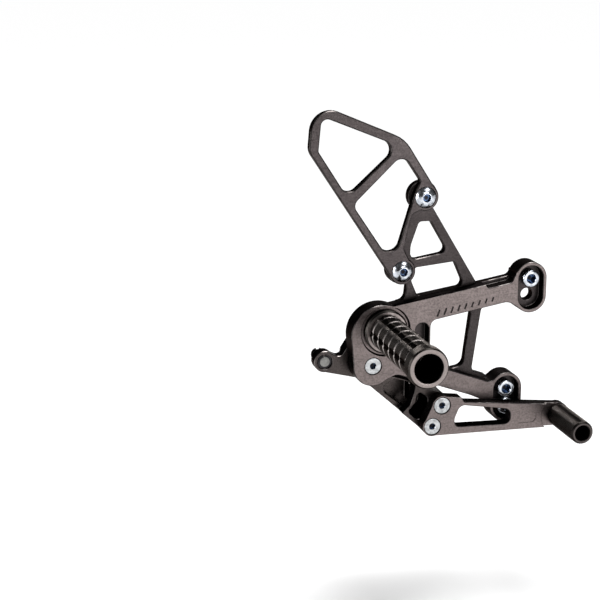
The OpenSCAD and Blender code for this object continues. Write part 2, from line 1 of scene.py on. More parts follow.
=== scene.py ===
# Right-hand rear set of a motorbike: a milled bracket with its foot peg, heel guard and
# brake pedal. The sections follow the order in which the set is put together.
import json
from collections import Counter
from math import cos, pi, radians, sin

import bmesh
import bpy
from mathutils import Matrix, Vector

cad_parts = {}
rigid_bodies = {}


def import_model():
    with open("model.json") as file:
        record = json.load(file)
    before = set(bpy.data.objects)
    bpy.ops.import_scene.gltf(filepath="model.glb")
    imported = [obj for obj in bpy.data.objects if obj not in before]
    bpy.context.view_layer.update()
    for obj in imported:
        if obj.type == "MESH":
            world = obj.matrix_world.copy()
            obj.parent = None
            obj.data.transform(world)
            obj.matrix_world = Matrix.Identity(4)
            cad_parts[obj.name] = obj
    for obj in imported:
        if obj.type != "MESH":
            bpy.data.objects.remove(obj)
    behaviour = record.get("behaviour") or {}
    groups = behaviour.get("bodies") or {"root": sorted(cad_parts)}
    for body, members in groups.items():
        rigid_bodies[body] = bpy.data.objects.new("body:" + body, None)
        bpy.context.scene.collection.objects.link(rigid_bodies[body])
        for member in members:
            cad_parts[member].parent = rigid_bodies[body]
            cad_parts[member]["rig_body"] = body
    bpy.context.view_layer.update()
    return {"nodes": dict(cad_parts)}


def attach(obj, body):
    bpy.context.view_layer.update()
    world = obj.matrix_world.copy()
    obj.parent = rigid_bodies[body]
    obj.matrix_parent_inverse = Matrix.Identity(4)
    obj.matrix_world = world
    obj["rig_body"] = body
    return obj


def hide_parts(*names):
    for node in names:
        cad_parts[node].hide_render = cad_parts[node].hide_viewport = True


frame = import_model()


# Main bracket. One aluminium plate, 15 mm thick at the hub and the ears and thinner in the
# strut and the guard carrier. It is milled, its edges are broken with a small cutter, and
# then it is black anodised. Its faces stay satin; its walls, rounded edges, set-back web and
# groove floors are painted darker, as painted shade.
BRACKET_EDGE = 0.0005
WEB_Y = -0.0085
GROOVE_FLOOR_Y = -0.0145
GROOVE_MARGIN = 0.0001
WELD_DISTANCE = 2e-6
SAME_FLAT = radians(0.5)
FLAT_JOINT = radians(0.6)
SOFT_CREASE = radians(24)
CORNER = radians(28)
ROOM_FOR_EDGE = 2.1
SHORT_EDGE = 0.0015
FACE_BLACK = (0.150, 0.125, 0.121)
WEB_SHADE_BLACK = (0.042, 0.036, 0.036)
WALL_SHADE_BLACK = (0.027, 0.024, 0.024)
GLANCING_BLACK = (0.32, 0.30, 0.29)
BARE_AND_GLINT_EDGE = (0.44, 0.40, 0.385)
STREAK_STRETCH = (0.16, 1.0, 1.6)
STREAK_SHARE = 0.28
# Edges facing this way get the most scuffs and painted highlights.
SCUFF_AND_GLINT_SIDE = (-0.64, 0, 0.77)


def flat_rims(bm):
    """For each face, the edges round the whole flat it is a part of."""
    found = {}
    for first in bm.faces:
        if first in found:
            continue
        members, rim = [first], []
        found[first] = rim
        for face in members:
            for edge in face.edges:
                if edge.calc_face_angle(1) > SAME_FLAT:
                    rim.append(edge)
                    continue
                for beside in edge.link_faces:
                    if beside not in found:
                        found[beside] = rim
                        members.append(beside)
    return found


def room_beside(edge, rims):
    """How far the flats beside the edge reach, from its middle to the rim across."""
    middle = (edge.verts[0].co + edge.verts[1].co) / 2
    room = 1.0
    for loop in edge.link_loops:
        along = (loop.link_loop_next.vert.co - loop.vert.co).normalized()
        inward = loop.face.normal.cross(along)
        for other in rims[loop.face]:
            start, stop = (vert.co - middle for vert in other.verts)
            before, after = start.dot(along), stop.dot(along)
            if other is edge or before * after > 0 or before == after:
                continue
            depth = start.dot(inward)
            depth += (stop.dot(inward) - depth) * before / (before - after)
            if depth > 1e-6:
                room = min(room, depth)
    return room


def broken_edges(node, edge):
    """The node's solid as one clean mesh, with its sharp edges rounded by edge metres.

    Edges beside a flat too narrow for the rounding, as in the fine grooves, stay sharp, and
    so do lone short ones. The rounded faces get worn_edge = 1.
    """
    source = frame["nodes"][node]
    mesh = source.data.copy()
    bm = bmesh.new()
    bm.from_mesh(mesh)
    bmesh.ops.remove_doubles(bm, verts=bm.verts, dist=WELD_DISTANCE)
    bmesh.ops.dissolve_limit(bm, angle_limit=FLAT_JOINT, verts=bm.verts, edges=bm.edges)
    bmesh.ops.recalc_face_normals(bm, faces=bm.faces)
    worn = bm.faces.layers.float.new("worn_edge")
    rims = flat_rims(bm)
    picked = [e for e in bm.edges if e.is_manifold and e.calc_face_angle(0) > CORNER
              and room_beside(e, rims) > ROOM_FOR_EDGE * edge]
    ends = Counter(vert for e in picked for vert in e.verts)
    picked = [e for e in picked
              if e.calc_length() > SHORT_EDGE or all(ends[vert] > 1 for vert in e.verts)]
    rounded = bmesh.ops.bevel(bm, geom=picked, offset=edge, offset_type="OFFSET", segments=2,
                              profile=0.5, affect="EDGES", clamp_overlap=False,
                              loop_slide=False)
    for face in rounded["faces"]:
        face[worn] = 1.0
    bmesh.ops.triangulate(bm, faces=[f for f in bm.faces if len(f.verts) > 4])
    for face in bm.faces:
        face.smooth = True
    for e in bm.edges:
        first, second = e.link_faces
        e.smooth = first[worn] == second[worn] and e.calc_face_angle(0) < SOFT_CREASE
    bm.to_mesh(mesh)
    bm.free()
    mesh.materials.clear()
    piece = bpy.data.objects.new(node + "_milled", mesh)
    bpy.context.scene.collection.objects.link(piece)
    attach(piece, source["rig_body"])
    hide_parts(node)
    return piece


def add_node(tree, kind, inputs=(), **settings):
    """Adds a node, links or sets its inputs, and returns its outputs."""
    made = tree.nodes.new(kind)
    for key, value in settings.items():
        setattr(made, key, value)
    for socket, value in dict(inputs).items():
        if isinstance(value, bpy.types.NodeSocket):
            tree.links.new(value, made.inputs[socket])
        else:
            made.inputs[socket].default_value = value
    return made.outputs


def add_math(tree, operation, *given, **settings):
    """The result of a math node on sockets and plain numbers."""
    return add_node(tree, "ShaderNodeMath", enumerate(given), operation=operation,
                    **settings)[0]


def add_range(tree, value, start, end, low=0.0, high=1.0):
    """The value mapped from start..end to low..high, and held at these."""
    return add_node(tree, "ShaderNodeMapRange", {
        "Value": value, "From Min": start, "From Max": end, "To Min": low,
        "To Max": high})["Result"]


def add_noise(tree, vector, scale, detail, **inputs):
    return add_node(tree, "ShaderNodeTexNoise", {
        "Vector": vector, "Scale": scale, "Detail": detail, **inputs})["Fac"]


def mix_colors(tree, amount, first, second, mode="MIX"):
    """A colour mix; each of the three is a socket, or a plain value or colour."""
    first, second = ((*c, 1) if isinstance(c, tuple) else c for c in (first, second))
    return add_node(tree, "ShaderNodeMix", {0: amount, 6: first, 7: second},
                    data_type="RGBA", blend_type=mode)[2]


def shader_group(name, inputs, outputs):
    """A new shader group, with what enters and what leaves it; None stands for a vector."""
    tree = bpy.data.node_groups.new(name, "ShaderNodeTree")
    for socket, value in inputs.items():
        kind = "NodeSocketVector" if value is None else "NodeSocketFloat"
        made = tree.interface.new_socket(socket, in_out="INPUT", socket_type=kind)
        if value is not None:
            made.default_value = value
    for socket in outputs:
        tree.interface.new_socket(socket, in_out="OUTPUT", socket_type="NodeSocketFloat")
    return tree, add_node(tree, "NodeGroupInput"), tree.nodes.new("NodeGroupOutput").inputs


def blasted_grain_group():
    """Fine grain and cutter streaks of an anodised skin: a tone, faint clouds, a height."""
    tree, put, leave = shader_group(
        "blasted_grain", {"Vector": None, "Grains per metre": 1400, "Clouds per metre": 55},
        ("Tone", "Clouds", "Height"))
    grain = add_noise(tree, put["Vector"], put["Grains per metre"], 3, Roughness=0.65)
    clouds = add_noise(tree, put["Vector"], put["Clouds per metre"], 4)
    drawn_out = add_node(tree, "ShaderNodeVectorMath", {0: put["Vector"], 1: STREAK_STRETCH},
                         operation="MULTIPLY")["Vector"]
    streaks = add_noise(tree, drawn_out, put["Grains per metre"], 2)
    both = add_node(tree, "ShaderNodeMix", {
        "Factor": STREAK_SHARE, "A": grain, "B": streaks})["Result"]
    tree.links.new(add_range(tree, both, 0.35, 0.65), leave["Tone"])
    tree.links.new(clouds, leave["Clouds"])
    tree.links.new(grain, leave["Height"])
    return tree


def edge_scuff_and_glint_group():
    """Where the anodising has thinned on the rounded edges, broken up by noise, with painted
    highlights on them.

    Edges that look up or to the rear get the most: painted highlights where the lamps glint on
    them, on top of scuffs where the boot passes.
    """
    tree, put, leave = shader_group("edge_scuff_and_glint", {
        "Vector": None, "Normal": None, "Amount": 0.5, "Broken up": 1.0, "All round": 0.0},
        ("Mask",))
    mask = add_node(tree, "ShaderNodeAttribute", attribute_name="worn_edge")["Fac"]
    patches = add_range(tree, add_noise(tree, put["Vector"], 130, 5), 0.42, 0.66,
                        add_math(tree, "SUBTRACT", 1.0, put["Broken up"]))
    towards = add_node(tree, "ShaderNodeVectorMath", {0: put["Normal"], 1: SCUFF_AND_GLINT_SIDE},
                       operation="DOT_PRODUCT")["Value"]
    scuff_and_glint_facing = add_range(tree, towards, 0.25, 0.50, put["All round"])
    for share in (patches, scuff_and_glint_facing, put["Amount"]):
        mask = add_math(tree, "MULTIPLY", mask, share)
    tree.links.new(mask, leave["Mask"])
    return tree


grain_group = blasted_grain_group()
scuff_and_glint_group = edge_scuff_and_glint_group()


def bare_metal(name):
    """A new metal material, with its tree and the inputs of its shader."""
    material = bpy.data.materials.new(name)
    material.use_nodes = True
    tree = material.node_tree
    skin = tree.nodes["Principled BSDF"].inputs
    skin["Metallic"].default_value = 1.0
    return material, tree, skin


def cover(tree, skin, color, sheen, height, strength, distance):
    """Links a skin's colour, its roughness and a bump of the height."""
    tree.links.new(color, skin["Base Color"])
    tree.links.new(sheen, skin["Roughness"])
    tree.links.new(add_node(tree, "ShaderNodeBump", {
        "Height": height, "Strength": strength, "Distance": distance})["Normal"],
        skin["Normal"])


def black_anodised(name, face_color, wall_shade_color, scuff_and_glint, rough=0.34, grains=900,
                   broken_up=1.0, all_round=0.12, levels=()):
    """Anodised aluminium whose faces, square to the plate, are paler than its walls and rounded
    edges, which are painted darker as painted shade.

    A level is (comparison, colour): the faces whose y passes the comparison, a math
    operation with its numbers, have that colour.
    """
    material, tree, skin = bare_metal(name)
    # The dark glancing tint takes the reflections off the walls, deepening their painted shade.
    skin["Specular Tint"].default_value = (*GLANCING_BLACK, 1)
    place = add_node(tree, "ShaderNodeTexCoord")
    grain = add_node(tree, "ShaderNodeGroup", {
        "Vector": place["Object"], "Grains per metre": grains}, node_tree=grain_group)
    worn = add_node(tree, "ShaderNodeGroup", {
        "Vector": place["Object"], "Normal": place["Normal"], "Amount": scuff_and_glint,
        "Broken up": broken_up, "All round": all_round}, node_tree=scuff_and_glint_group)["Mask"]
    for (operation, *numbers), color in levels:
        depth = add_node(tree, "ShaderNodeSeparateXYZ", {0: place["Object"]})["Y"]
        face_color = mix_colors(tree, add_math(tree, operation, depth, *numbers),
                                face_color, color)
    # Walls and rounded edges take the wall colour: painted shade, chosen by which way the
    # surface faces.
    facing = add_node(tree, "ShaderNodeSeparateXYZ", {0: place["Normal"]})["Y"]
    is_face = add_range(tree, add_math(tree, "ABSOLUTE", facing), 0.80, 0.97)
    edge = add_node(tree, "ShaderNodeAttribute", attribute_name="worn_edge")["Fac"]
    flat = add_math(tree, "SUBTRACT", is_face, edge, use_clamp=True)
    base = mix_colors(tree, flat, wall_shade_color, face_color)
    grained = mix_colors(tree, 1.0, base, add_range(tree, grain["Tone"], 0, 1, 0.68, 1.30),
                         "MULTIPLY")
    # The pale edge colour stands for scuffed anodising and for painted highlights.
    cover(tree, skin, mix_colors(tree, worn, grained, BARE_AND_GLINT_EDGE),
          add_range(tree, grain["Clouds"], 0.3, 0.7, rough - 0.05, rough + 0.07),
          grain["Height"], 0.5, 0.00004)
    return material


bracket = broken_edges("main_bracket", BRACKET_EDGE)
# The set-back web and the floors of the fine grooves are painted darker, as painted shade in
# the recesses.
bracket.data.materials.append(black_anodised(
    "bracket_black", FACE_BLACK, WALL_SHADE_BLACK, scuff_and_glint=0.4, levels=(
        (("GREATER_THAN", WEB_Y), WEB_SHADE_BLACK),
        (("COMPARE", GROOVE_FLOOR_Y, GROOVE_MARGIN), WALL_SHADE_BLACK))))


# Heel guard. A 6.2 mm plate with two windows, milled and anodised like the bracket and
# bolted on its carrier at two lugs. Its faces are painted darker than the bracket's, as
# painted shade. Boots rub its outer edges, so they get more scuffing and more painted
# highlight.
GUARD_EDGE = 0.0008
GUARD_SHADE_BLACK = (0.055, 0.047, 0.047)
guard = broken_edges("heel_guard", GUARD_EDGE)
guard.data.materials.append(
    black_anodised("guard_black", GUARD_SHADE_BLACK, WALL_SHADE_BLACK, scuff_and_glint=0.5, rough=0.28))


# Guard screws. Two M8 button heads of zinc-plated steel, forged with a hexagon socket, and
# screwed from the outside into tapped holes in the carrier.
M8 = 0.008
M8_PITCH = 0.00125
GUARD_SCREWS = ((-0.0785, 0.0611), (-0.0941, 0.0102))
GUARD_SEAT_Y = -0.0115
BUTTON_LENGTH = 0.0115
SCREW_SIDES = 72
MOUTH_SIDES = 50
SCREW_CREASE = radians(32)
BUTTON_SIZES = {"Thread depth": 0.0006, "Thread pitch": M8_PITCH, "Thread top": -0.0005,
                "Socket radius": 0.00289, "Socket floor": 0.0016, "Mouth radius": 0.0030,
                "Mouth top": 0.004}
ZINC = (0.58, 0.61, 0.66)
# Socket colours: painted shade inside the hexagon sockets.
SOCKET_SHADE_BLUE = (0.05, 0.085, 0.16)
SOCKET_SHADE_BLACK = (0.01, 0.01, 0.012)
OUTBOARD = Matrix.Rotation(radians(90), 4, "X")


def turned(rings, around, bands=(), seats=(), bare=()):
    """A closed turned mesh from (radius, length) rings, and loose points for the seats.

    A band is (first, last) of the rings that are knurled; its points get knurled = 1.
    The rings numbered in the last argument are pale: lost anodising and painted highlights.
    """
    bm = bmesh.new()
    knurled = bm.verts.layers.float.new("knurled")
    is_bare = bm.verts.layers.float.new("is_bare")
    is_seat = bm.verts.layers.float.new("is_seat")
    loops = []
    for number, (radius, length) in enumerate(rings):
        if radius == 0:
            loops.append([bm.verts.new((0, 0, length))])
            continue
        loop = []
        for step in range(around):
            turn = 2 * pi * step / around
            vert = bm.verts.new((radius * cos(turn), radius * sin(turn), length))
            vert[knurled] = float(any(a <= number <= b for a, b in bands))
            vert[is_bare] = float(number in bare)
            loop.append(vert)
        loops.append(loop)
    closed = rings[0][0] > 0
    pairs = list(zip(loops, loops[1:])) + ([(loops[-1], loops[0])] if closed else [])
    for here, there in pairs:
        for step in range(around):
            nxt = (step + 1) % around
            if len(here) == 1:
                bm.faces.new((here[0], there[nxt], there[step]))
            elif len(there) == 1:
                bm.faces.new((here[step], here[nxt], there[0]))
            else:
                bm.faces.new((here[step], here[nxt], there[nxt], there[step]))
    bmesh.ops.recalc_face_normals(bm, faces=bm.faces)
    for seat in seats:
        vert = bm.verts.new(seat)
        vert[is_seat] = 1.0
    mesh = bpy.data.meshes.new("turned")
    bm.to_mesh(mesh)
    bm.free()
    return mesh


class Wiring:
    """Short words for building the geometry tree of a turned piece."""

    def __init__(self, name, sizes):
        self.tree = bpy.data.node_groups.new(name, "GeometryNodeTree")
        face = self.tree.interface
        face.new_socket("Geometry", in_out="INPUT", socket_type="NodeSocketGeometry")
        for size, value in sizes.items():
            kind = "NodeSocketInt" if isinstance(value, int) else "NodeSocketFloat"
            face.new_socket(size, in_out="INPUT", socket_type=kind).default_value = value
        face.new_socket("Finish", in_out="INPUT", socket_type="NodeSocketMaterial")
        face.new_socket("Geometry", in_out="OUTPUT", socket_type="NodeSocketGeometry")
        self.enter = add_node(self.tree, "NodeGroupInput")
        self.leave = self.tree.nodes.new("NodeGroupOutput").inputs

    def node(self, kind, inputs=(), **settings):
        return add_node(self.tree, kind, inputs, **settings)

    def math(self, operation, *given):
        return add_math(self.tree, operation, *given)

    def product(self, first, *others):
        for other in others:
            first = self.math("MULTIPLY", first, other)
        return first

    def attribute(self, name):
        return self.node("GeometryNodeInputNamedAttribute", {"Name": name},
                         data_type="FLOAT")["Attribute"]

    def wave(self, value):
        """A triangle wave: 0 on whole numbers and 1 half way between them."""
        return self.product(self.math("PINGPONG", value, 0.5), 2.0)

    def polar(self):
        """A point's x, y and z, its part of a whole turn round Z, and its radius."""
        place = self.node("ShaderNodeSeparateXYZ", {
            0: self.node("GeometryNodeInputPosition")[0]})
        turn = self.math("DIVIDE", self.math("ARCTAN2", place["Y"], place["X"]), 2 * pi)
        radius = self.math("SQRT", self.math("ADD", self.product(place["X"], place["X"]),
                                             self.product(place["Y"], place["Y"])))
        return place, turn, radius

    def pressed(self, place, radius, depth):
        """The point moved towards the axis by the depth."""
        share = self.math("DIVIDE", self.math("SUBTRACT", radius, depth),
                          self.math("MAXIMUM", radius, 0.00001))
        return self.node("ShaderNodeCombineXYZ", {
            "X": self.product(place["X"], share), "Y": self.product(place["Y"], share),
            "Z": place["Z"]})[0]

    def lifted(self, mesh, height, **turn):
        """The mesh moved up by the height, and turned if a Rotation is given."""
        up = self.node("ShaderNodeCombineXYZ", {"Z": height})[0]
        return self.node("GeometryNodeTransform", {
            "Geometry": mesh, "Translation": up, **turn})["Geometry"]

    def less(self, mesh, cutter, solver):
        return self.node("GeometryNodeMeshBoolean", {"Mesh 1": mesh, "Mesh 2": cutter},
                         operation="DIFFERENCE", solver=solver)["Mesh"]

    def stored(self, mesh, **values):
        for name, value in values.items():
            mesh = self.node("GeometryNodeStoreNamedAttribute", {
                "Geometry": mesh, "Name": name, "Value": value},
                data_type="FLOAT", domain="POINT")["Geometry"]
        return mesh

    def finished(self, mesh):
        """Ends the tree: the copies are made real and get their finish."""
        whole = self.node("GeometryNodeRealizeInstances", {"Geometry": mesh})[0]
        whole = self.node("GeometryNodeSetMaterial", {
            "Geometry": whole, "Material": self.enter["Finish"]})["Geometry"]
        self.tree.links.new(whole, self.leave["Geometry"])
        return self


def run_tree(name, mesh, wiring, sizes, finish):
    """The mesh after its tree, as a plain mesh object with no modifier left."""
    piece = bpy.data.objects.new(name, mesh)
    bpy.context.scene.collection.objects.link(piece)
    modifier = piece.modifiers.new("tree", "NODES")
    modifier.node_group = wiring.tree
    for socket in wiring.tree.interface.items_tree:
        if socket.in_out == "INPUT" and socket.name in sizes:
            modifier[socket.identifier] = sizes[socket.name]
        elif socket.name == "Finish":
            modifier[socket.identifier] = finish
    made = bpy.data.meshes.new_from_object(
        piece.evaluated_get(bpy.context.evaluated_depsgraph_get()),
        preserve_all_data_layers=True, depsgraph=bpy.context.evaluated_depsgraph_get())
    piece.modifiers.clear()
    piece.data = made
    return piece


def set_down(piece, move, crease):
    """Moves a turned piece's mesh to its place, shaded smooth up to the angle crease."""
    piece.data.transform(move)
    for face in piece.data.polygons:
        face.use_smooth = True
    piece.data.set_sharp_from_angle(angle=crease)


def screw_tree():
    """Socket screws: thread, serrated head and hexagon socket on one turned blank.

    The mouth is cut before the hexagon, and its corners don't line up with the hexagon's.
    """
    t = Wiring("socket_screws", {
        "Serrations": 36, "Serration depth": 0.0, "Thread pitch": M8_PITCH,
        "Thread depth": 0.0, "Thread top": -0.001, "Socket radius": 0.003,
        "Socket floor": 0.002, "Mouth radius": 0.0032, "Mouth top": 0.004})
    put = t.enter
    place, turn, radius = t.polar()
    on_shank = t.math("LESS_THAN", place["Z"], put["Thread top"])
    on_head = t.math("GREATER_THAN", place["Z"], put["Thread top"])
    thread = t.wave(t.math("SUBTRACT", t.math("DIVIDE", place["Z"], put["Thread pitch"]), turn))
    tooth = t.wave(t.product(turn, put["Serrations"]))
    cut = t.math("ADD", t.product(thread, put["Thread depth"], on_shank),
                 t.product(tooth, put["Serration depth"], on_head))
    parted = t.node("GeometryNodeSeparateGeometry", {
        "Geometry": put["Geometry"], "Selection": t.attribute("is_seat")}, domain="POINT")
    blank = t.node("GeometryNodeSetPosition", {
        "Geometry": parted["Inverted"],
        "Position": t.pressed(place, radius, t.product(cut, t.attribute("knurled")))
    })["Geometry"]
    depth = t.math("SUBTRACT", put["Mouth top"], put["Socket floor"])
    hexagon = t.lifted(t.node("GeometryNodeMeshCylinder", {
        "Vertices": 6, "Fill Segments": 3, "Radius": put["Socket radius"],
        "Depth": t.product(depth, 2.0)}, fill_type="TRIANGLE_FAN")["Mesh"], put["Mouth top"])
    mouth_foot = t.product(put["Socket radius"], 0.84)
    mouth_h = t.product(t.math("SUBTRACT", put["Mouth radius"], mouth_foot), 1.4)
    mouth = t.lifted(t.node("GeometryNodeMeshCone", {
        "Vertices": MOUTH_SIDES, "Radius Top": put["Mouth radius"], "Depth": mouth_h,
        "Radius Bottom": mouth_foot})["Mesh"],
        t.math("SUBTRACT", put["Mouth top"], t.product(mouth_h, 0.92)))
    for cutter in (mouth, hexagon):
        blank = t.less(blank, cutter, "EXACT")
    inside = t.product(
        t.math("LESS_THAN", radius, put["Mouth radius"]),
        t.math("LESS_THAN", place["Z"], t.math("SUBTRACT", put["Mouth top"], 0.0003)))
    blank = t.stored(blank, from_axis=radius, in_socket=t.product(inside, on_head))
    return t.finished(t.node("GeometryNodeInstanceOnPoints", {
        "Points": t.node("GeometryNodeMeshToPoints", {"Mesh": parted["Selection"]})[0],
        "Instance": blank})[0])


screws = screw_tree()


def place_screws(name, body, slot, nodes, rings, bands, seats, sizes, finish, turn):
    """One piece of like screws that stands for its CAD nodes; +Z of a screw is its head."""
    seats = [turn.inverted() @ Vector(seat) for seat in seats]
    piece = run_tree(name, turned(rings, SCREW_SIDES, bands, seats), screws, sizes, finish)
    set_down(piece, turn, SCREW_CREASE)
    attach(piece, body)
    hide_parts(*nodes)


def turning_marks_group():
    """Fine rings left by a lathe or a header, from the distance to the screw's own axis."""
    tree, put, leave = shader_group(
        "turning_marks", {"From axis": 0.0, "Vector": None, "Rings per metre": 3000},
        ("Height", "Tone"))
    line = add_node(tree, "ShaderNodeTexNoise", {
        "W": add_math(tree, "MULTIPLY", put["From axis"], put["Rings per metre"]),
        "Scale": 1.0, "Detail": 2}, noise_dimensions="1D")["Fac"]
    tree.links.new(line, leave["Height"])
    tree.links.new(add_noise(tree, put["Vector"], 420, 3), leave["Tone"])
    return tree


marks_group = turning_marks_group()


def plated(name, color, rough, rings, groove=0.00002, spread=0.10):
    """Unplated or plated metal with fine turning rings, a cloudy sheen and painted shade in
    sockets.
    """
    material, tree, skin = bare_metal(name)
    place = add_node(tree, "ShaderNodeTexCoord")["Object"]
    axis = add_node(tree, "ShaderNodeAttribute", attribute_name="from_axis")["Fac"]
    socket = add_node(tree, "ShaderNodeAttribute", attribute_name="in_socket")["Fac"]
    marks = add_node(tree, "ShaderNodeGroup", {
        "Vector": place, "From axis": axis, "Rings per metre": rings}, node_tree=marks_group)
    toned = mix_colors(tree, 1.0, color, add_range(tree, marks["Tone"], 0.3, 0.7, 0.56, 1.10),
                       "MULTIPLY")
    # Inside a socket: painted shade, black in the middle and dark blue towards its walls.
    well = mix_colors(tree, add_range(tree, axis, 0.0013, 0.0025), SOCKET_SHADE_BLACK, SOCKET_SHADE_BLUE)
    cover(tree, skin, mix_colors(tree, socket, toned, well),
          add_range(tree, marks["Tone"], 0.3, 0.7, rough - spread / 2, rough + spread / 2),
          marks["Height"], 0.6, groove)
    return material


def shank_rings(radius, length, pitch, plain=0.0):
    """Rings of a shank from its free end up: a cone tip, thread rows and a plain part."""
    tip = 0.0007
    rings = [(0, -length), (radius - tip, -length), (radius, -length + tip)]
    rows = max(1, int((length - tip - plain) / (pitch / 4)))
    low = -length + tip
    rings += [(radius, low + (-plain - low) * step / rows) for step in range(1, rows + 1)]
    return rings


def button_rings(d, length, pitch):
    """An M-size button head, from its tip to its crown; returns rings and thread band."""
    head, rim, dome = 0.9 * d, 0.15 * d, 0.45 * d
    ball = (head * head + dome * dome) / (2 * dome)
    rings = shank_rings(d / 2, length, pitch)
    bands = [(2, len(rings) - 1)]
    rings += [(head - 0.0002, 0), (head, 0.0002), (head, rim)]
    for step in range(1, 9):
        height = rim + (d / 2 - rim) * (step / 8) ** 1.4
        reach = ball * ball - (height - rim - dome + ball) ** 2
        rings.append((max(reach, 0) ** 0.5, height))
    top = rings[-1][0]
    rings += [(top * 0.7, d / 2), (0, d / 2)]
    return rings, bands


zinc = plated("zinc_plate", ZINC, 0.20, rings=1800, groove=0.00001, spread=0.16)
place_screws("guard_screws", "bracket", "zinc_bolts", ("guard_bolt_upper", "guard_bolt_lower"),
             *button_rings(M8, BUTTON_LENGTH, M8_PITCH),
             [(x, GUARD_SEAT_Y, z) for x, z in GUARD_SCREWS], BUTTON_SIZES, zinc, OUTBOARD)


# Foot peg. Turned from bar and bored hollow in two steps, with ring grooves and a collar
# turned on it, a diamond knurl rolled on and six flutes milled along it. Black anodised.
# It stands in a round recess of the hub on one M8 bolt from behind.
PEG_X, PEG_Z = -0.1063, -0.0309
PEG_SEAT_Y = -0.013
PEG_R = 0.0127
PEG_LENGTH = 0.092
PEG_HOLE_R = 0.00403
PEG_BORE_R = 0.0098
PEG_DEEP_BORE_R = 0.0088
PEG_FLOOR = 0.018
FLANGE_R = 0.0155
COLLAR_R = 0.0138
COLLAR_AT = 0.082
FIRST_RING = 0.0072
RING_PITCH = 0.0116
RING_WIDTH = 0.0022
RING_DEPTH = 0.001
PEG_DIAMONDS = 44
DIAMOND = 0.0019
KNURL_DEPTH = 0.00042
KNURL_CREASE = radians(22)
# The peg's walls take a far darker colour than its faces, as painted shade.
PEG_FACE = (0.22, 0.190, 0.182)
PEG_WALL_SHADE = (0.030, 0.027, 0.025)


def knurl_tree():
    """Rolled diamonds on the rings marked knurled, and flutes milled along the bar."""
    t = Wiring("knurled_bar", {
        "Diamonds": PEG_DIAMONDS, "Diamond length": DIAMOND, "Knurl depth": KNURL_DEPTH,
        "Flutes": 0,
        "Flute radius": 0.004, "Flute centre": 0.0158, "Flute start": 0.005,
        "Flute end": 0.08, "First flute": 0.0})
    put = t.enter
    place, turn, radius = t.polar()
    across = t.product(turn, put["Diamonds"])
    along = t.math("DIVIDE", place["Z"], put["Diamond length"])
    peak = t.product(t.math("MINIMUM", t.wave(t.math("ADD", across, along)),
                            t.wave(t.math("SUBTRACT", across, along))), t.attribute("knurled"))
    low = t.math("SUBTRACT", t.attribute("knurled"), peak)
    # Knurl peaks and the marked rings turn pale: scuffed anodising with painted highlights.
    bare = t.math("MAXIMUM", t.product(t.math("POWER", peak, 3.0), 0.14),
                  t.product(t.attribute("is_bare"), t.math("SUBTRACT", 1.0, low)))
    bar = t.stored(put["Geometry"], worn_edge=bare, from_axis=radius)
    bar = t.node("GeometryNodeSetPosition", {
        "Geometry": bar,
        "Position": t.pressed(place, radius, t.product(low, put["Knurl depth"]))})["Geometry"]
    bar = t.node("GeometryNodeTriangulate", {"Mesh": bar},
                 quad_method="SHORTEST_DIAGONAL")["Mesh"]
    cutter = t.node("GeometryNodeMeshCylinder", {
        "Vertices": 40, "Radius": put["Flute radius"],
        "Depth": t.math("SUBTRACT", put["Flute end"], put["Flute start"])})["Mesh"]
    middle = t.product(t.math("ADD", put["Flute start"], put["Flute end"]), 0.5)
    ring = t.lifted(t.node("GeometryNodeMeshCircle", {
        "Vertices": put["Flutes"], "Radius": put["Flute centre"]})["Mesh"], middle,
        Rotation=t.node("ShaderNodeCombineXYZ", {"Z": put["First flute"]})[0])
    cutters = t.node("GeometryNodeRealizeInstances", {
        "Geometry": t.node("GeometryNodeInstanceOnPoints", {
            "Points": ring, "Instance": cutter})[0]})[0]
    return t.finished(t.node("GeometryNodeSwitch", {
        "Switch": t.math("GREATER_THAN", put["Flutes"], 0), "False": bar,
        "True": t.less(bar, cutters, "MANIFOLD")}, input_type="GEOMETRY")["Output"])


knurling = knurl_tree()


def smooth(*rings):
    """Rings that are neither knurled nor pale with scuffs and painted highlights."""
    return [(radius, length, False, False) for radius, length in rings]


def knurl_rows(radius, start, end, diamond, depth, grooves=()):
    """Rings (radius, length, knurled, pale) of a knurled stretch cut by ring grooves.

    A groove is the length at its middle. Its walls start at the bottom of the knurl and stay
    smooth, and the wall that looks outboard is pale: scuffed anodising and a painted highlight
    where the light catches it. Two rings a hair apart keep the finishes on either side apart.
    """
    rows = []
    step = int(start / (diamond / 2)) + 1
    while step * diamond / 2 < end - 0.0001:
        at = step * diamond / 2
        if not any(abs(at - middle) < RING_WIDTH / 2 + 0.0001 for middle in grooves):
            rows.append((radius, at, True, False))
        step += 1
    low, floor = radius - depth, radius - RING_DEPTH
    for middle in grooves:
        inner, outer = middle - RING_WIDTH / 2, middle + RING_WIDTH / 2
        rows += [(radius, inner - 0.00002, True, True), (low, inner - 0.00001, False, False),
                 (low, inner, False, True), (floor, inner + 0.0005, False, True),
                 (floor, inner + 0.00051, False, False),
                 (floor, outer - 0.0003, False, False),
                 (low, outer, False, False), (radius, outer + 0.00001, True, True)]
    rows += [(radius, start, True, False), (radius, end, True, False)]
    return sorted(rows, key=lambda row: row[1])


def knurled_bar(name, body, node, rings, diamonds, sizes, finish, seat):
    """A knurled bar that stands on its seat and points outboard."""
    bands = [(i, i) for i, ring in enumerate(rings) if ring[2]]
    bare = [i for i, ring in enumerate(rings) if ring[3]]
    mesh = turned([ring[:2] for ring in rings], 2 * diamonds, bands, bare=bare)
    piece = run_tree(name, mesh, knurling, {"Diamonds": diamonds, **sizes}, finish)
    set_down(piece, Matrix.Translation(seat) @ OUTBOARD, KNURL_CREASE)
    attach(piece, body)
    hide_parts(node)


